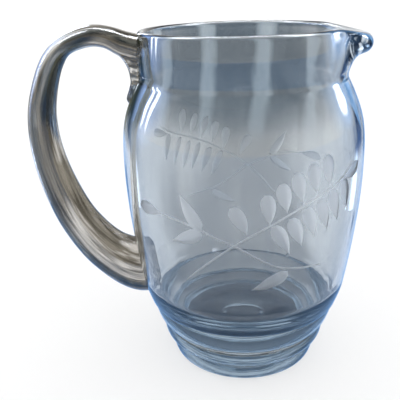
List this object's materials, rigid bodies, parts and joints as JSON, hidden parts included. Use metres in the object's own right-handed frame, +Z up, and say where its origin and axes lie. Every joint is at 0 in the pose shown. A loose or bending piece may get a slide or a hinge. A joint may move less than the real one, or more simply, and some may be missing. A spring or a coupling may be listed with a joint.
{
  "type": "glass pitcher",
  "caption": "Clear glass water pitcher with a rounded belly on a stepped solid foot, a straight collar, a pulled spout and a drawn bow handle fused to collar and belly.",
  "frame": {"origin": "middle of the underside of the pitcher's bounding box, on the surface it stands on; the vessel's own axis stands at x = +25.6 mm", "axes": "+Z up along the vessel's axis, +X towards the spout, -X towards the handle, +Y to the left of the spout"},
  "size_m": [0.1836, 0.1284, 0.1871],
  "materials": {
    "body_glass": "fire-polished gloss",
    "handle_glass": "fire-polished gloss"
  },
  "bodies": {
    "root": {"body": "body_glass", "handle": "handle_glass"}
  },
  "joints": []
}
